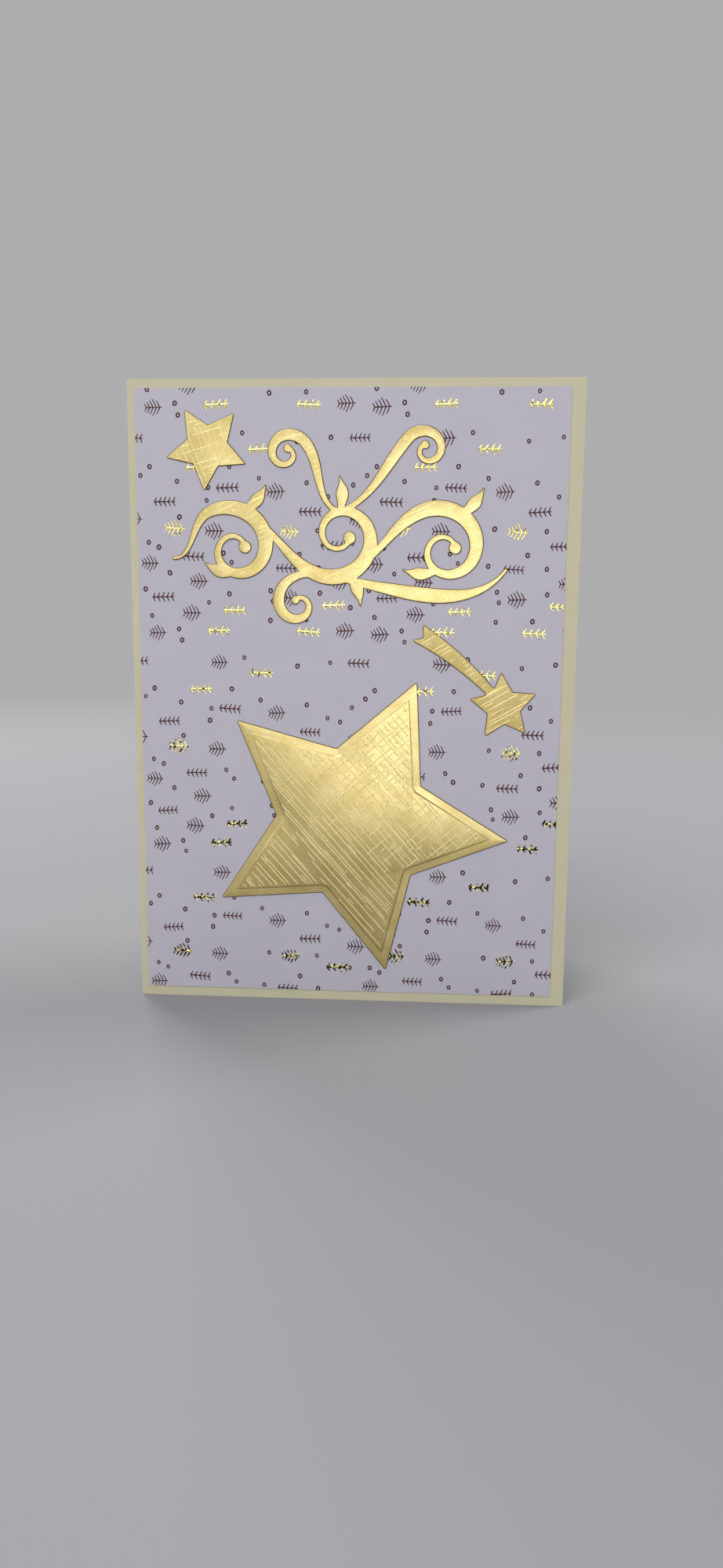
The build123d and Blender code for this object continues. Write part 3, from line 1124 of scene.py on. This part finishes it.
def trim(mesh: Mesh, sheet: tuple[Vector, Vector]) -> None:
    """Cuts a mesh off at the four edges of a sheet and closes the cuts.

    Args:
        mesh: The mesh to cut.
        sheet: The sheet's lowest and highest corners.
    """
    low, high = sheet
    shape = bmesh.new()
    shape.from_mesh(mesh)
    for place, outward in ((low, (-1, 0, 0)), (low, (0, 0, -1)), (high, (1, 0, 0)), (high, (0, 0, 1))):
        everything = shape.verts[:] + shape.edges[:] + shape.faces[:]
        bmesh.ops.bisect_plane(shape, geom=everything, plane_co=place, plane_no=outward, clear_outer=True)
        bmesh.ops.holes_fill(shape, edges=[edge for edge in shape.edges if edge.is_boundary], sides=0)
    shape.to_mesh(mesh)
    shape.free()


@dataclass
class GoldPieces:
    """The four gold pieces and the lines pressed into them."""

    large_star_emboss: float = 0.25 * MM
    slack: float = 0.004 * MM
    large_star_lines: tuple = (
        LineSet("large_star_long_lines", -48.5, scatter=0.3, dash=20 * MM, gap=0.38, seed=3),
        LineSet("large_star_twin_lines", -48.5, pitch=2.2 * MM, scatter=0.45, dash=7 * MM, gap=0.55, seed=11),
        LineSet(
            "large_star_cross_lines", 41.5, pitch=1.45 * MM, scatter=0.25, dash=4 * MM, gap=0.55,
            drift=-1.1, height=0.05 * MM, seed=7,
        ),
    )
    small_star_lines: tuple = (
        LineSet(
            "small_star_steep_lines", -68.0, pitch=1.45 * MM, dash=18 * MM, gap=0.4, width=0.24 * MM,
            height=0.05 * MM, seed=5,
        ),
        LineSet(
            "small_star_cross_lines", 16.0, pitch=1.5 * MM, dash=5 * MM, gap=0.49, width=0.16 * MM,
            height=0.025 * MM, seed=6,
        ),
    )
    shooting_star_lines: tuple = (
        LineSet(
            "shooting_star_lines", 30.0, pitch=1.0 * MM, scatter=0.4, dash=10 * MM, gap=0.43,
            width=0.16 * MM, height=0.035 * MM, seed=8,
        ),
        LineSet(
            "shooting_star_fine_lines", 31.0, pitch=0.5 * MM, scatter=0.4, dash=3 * MM, gap=0.5,
            width=0.12 * MM, height=0.025 * MM, seed=12, burnished=False,
        ),
    )
    flourish_lines: tuple = (
        LineSet(
            "flourish_lines", 24.0, pitch=0.85 * MM, dash=4 * MM, gap=0.5, width=0.14 * MM,
            height=0.022 * MM, seed=4,
        ),
    )

    def build(self, material: Material, dull: Material, crest: Material) -> list[Object]:
        """Builds the pieces and presses their lines.

        Args:
            material: The gold card.
            dull: The duller gold card of the shooting star.
            crest: The finish of most of the lines, with a painted highlight.

        Returns:
            All the new pieces.
        """
        tree = EmbossedLines()
        pieces = []
        jobs = (
            (PressedCutout("large_star", emboss=self.large_star_emboss), self.large_star_lines, material),
            (PressedCutout("small_star"), self.small_star_lines, material),
            (PressedCutout("shooting_star"), self.shooting_star_lines, dull),
            (PressedCutout("flourish"), self.flourish_lines, material),
        )
        for cutout, line_sets, finish in jobs:
            piece = cutout.build(finish)
            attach(piece, "root")
            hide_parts(cutout.node)
            pieces.append(piece)
            top = cutout.thickness + cutout.emboss
            for lines in line_sets:
                face = cutout.flat_part(top - self.slack, top + self.slack)
                # Lines with the painted highlight take the brighter ridge finish.
                pressed = lines.press(tree, face, crest if lines.burnished else finish)
                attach(pressed, "root")
                pieces.append(pressed)
        return pieces


@dataclass(frozen=True)
class Lamp:
    """Square soft light."""

    name: str
    place: tuple
    size: float
    power: float
    spread: float = 180.0  # degrees

    def hang(self, target: Vector) -> None:
        """Hangs the lamp so that it looks at a target.

        Args:
            target: The place that it looks at.
        """
        data = bpy.data.lights.new(self.name, "AREA")
        data.shape = "SQUARE"
        data.size = self.size
        data.energy = self.power
        data.spread = radians(self.spread)
        lamp = bpy.data.objects.new(self.name, data)
        lamp.location = self.place
        lamp.rotation_euler = (target - Vector(self.place)).to_track_quat("-Z", "Y").to_euler()
        bpy.context.scene.collection.objects.link(lamp)


@dataclass(frozen=True)
class Studio:
    """Pale floor in pale surroundings, with soft light from all sides, and the camera of the photograph."""

    camera_place: tuple = (18.19 * MM, -287.50 * MM, 97.16 * MM)
    yaw: float = -3.483  # degrees, to the right
    pitch: float = -9.377  # degrees, upwards
    roll: float = 0.443  # degrees, anticlockwise
    focal_pixels: float = 1383.0
    frame_height: float = 2000.0
    sensor: float = 36.0
    floor_radius: float = 1.0
    lamps: tuple = (
        Lamp("key", (85 * MM, -1058 * MM, 40 * MM), size=0.36, power=0.24, spread=60.0),
        Lamp("upper_key", (-240 * MM, -1058 * MM, 280 * MM), size=0.3, power=0.035, spread=60.0),
        Lamp("front_top", (-0.45, -1.1, 1.3), size=0.9, power=13.0),
        Lamp("low_left", (-0.8, -0.8, 0.12), size=0.4, power=1.3),
        Lamp("low_right", (0.8, -0.8, 0.12), size=0.4, power=1.3),
        Lamp("back_left", (-0.75, 1.15, 0.55), size=0.7, power=16.0),
        Lamp("open_side", (1.3, 0.45, 0.6), size=0.7, power=18.0),
    )
    world_strength: float = 0.42

    def place_camera(self) -> None:
        """Makes the camera."""
        data = bpy.data.cameras.new("camera")
        data.sensor_width = self.sensor
        data.lens = self.focal_pixels * self.sensor / self.frame_height
        data.clip_start = 0.01
        camera = bpy.data.objects.new("camera", data)
        camera.matrix_world = Matrix.Translation(self.camera_place)
        for angle, axis in ((-self.yaw, "Z"), (90 + self.pitch, "X"), (self.roll, "Z")):
            camera.matrix_world @= Matrix.Rotation(radians(angle), 4, axis)
        bpy.context.scene.collection.objects.link(camera)
        bpy.context.scene.camera = camera

    def lay_floor(self) -> None:
        """Makes the floor, one round sheet."""
        corners = 64
        turns = [2 * pi * corner / corners for corner in range(corners)]
        points = [(self.floor_radius * cos(turn), self.floor_radius * sin(turn), 0.0) for turn in turns]
        mesh = mesh_of("studio_floor", np.array(points), [tuple(range(corners))])
        mesh.materials.append(StudioGround().material())
        place_object("studio_floor", mesh)

    def light(self) -> None:
        """Makes the lamps and the world."""
        low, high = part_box("card_base")
        for lamp in self.lamps:
            lamp.hang((low + high) / 2)
        world = bpy.data.worlds.new("studio")
        world.use_nodes = True
        graph = Graph(world.node_tree)
        world.node_tree.nodes.clear()
        soft = graph.add("ShaderNodeBackground", {"Color": (1, 1, 1, 1), "Strength": self.world_strength})
        graph.add("ShaderNodeOutputWorld", {0: soft.outputs[0]})
        bpy.context.scene.world = world
        bpy.context.scene.view_settings.view_transform = "Standard"


def dress(node: str, material: Material) -> Object:
    """Gives a CAD node its finish.

    Args:
        node: The node's name.
        material: The finish.

    Returns:
        The node's object.
    """
    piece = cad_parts[node]
    if not piece.material_slots:
        piece.data.materials.append(material)
    for slot in piece.material_slots:
        slot.material = material
    return piece


def report(piece: Object) -> None:
    """Logs a piece's name and how many triangles it has."""
    triangles = sum(len(polygon.vertices) - 2 for polygon in piece.data.polygons)
    LOG.info("%s: %d triangles", piece.name, triangles)


def main() -> None:
    """Builds the dressed card and its studio."""
    logging.basicConfig(level=logging.INFO, format="%(name)s %(message)s")
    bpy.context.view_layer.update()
    studio = Studio()
    studio.place_camera()
    studio.lay_floor()
    studio.light()
    report(dress("card_base", CardStock().material()))
    report(dress("patterned_panel", PatternedSheet().material()))
    for piece in RepeatPrint().lay(PrintingInk().material(), HotFoil().material()):
        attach(piece, "root")
        report(piece)
    dull = MirrorCard("dull_gold_card", smooth_roughness=0.55, rough_roughness=0.65).material()
    for piece in GoldPieces().build(MirrorCard().material(), dull, RidgePaintedHighlight().material()):
        report(piece)


if __name__ == "__main__":
    main()
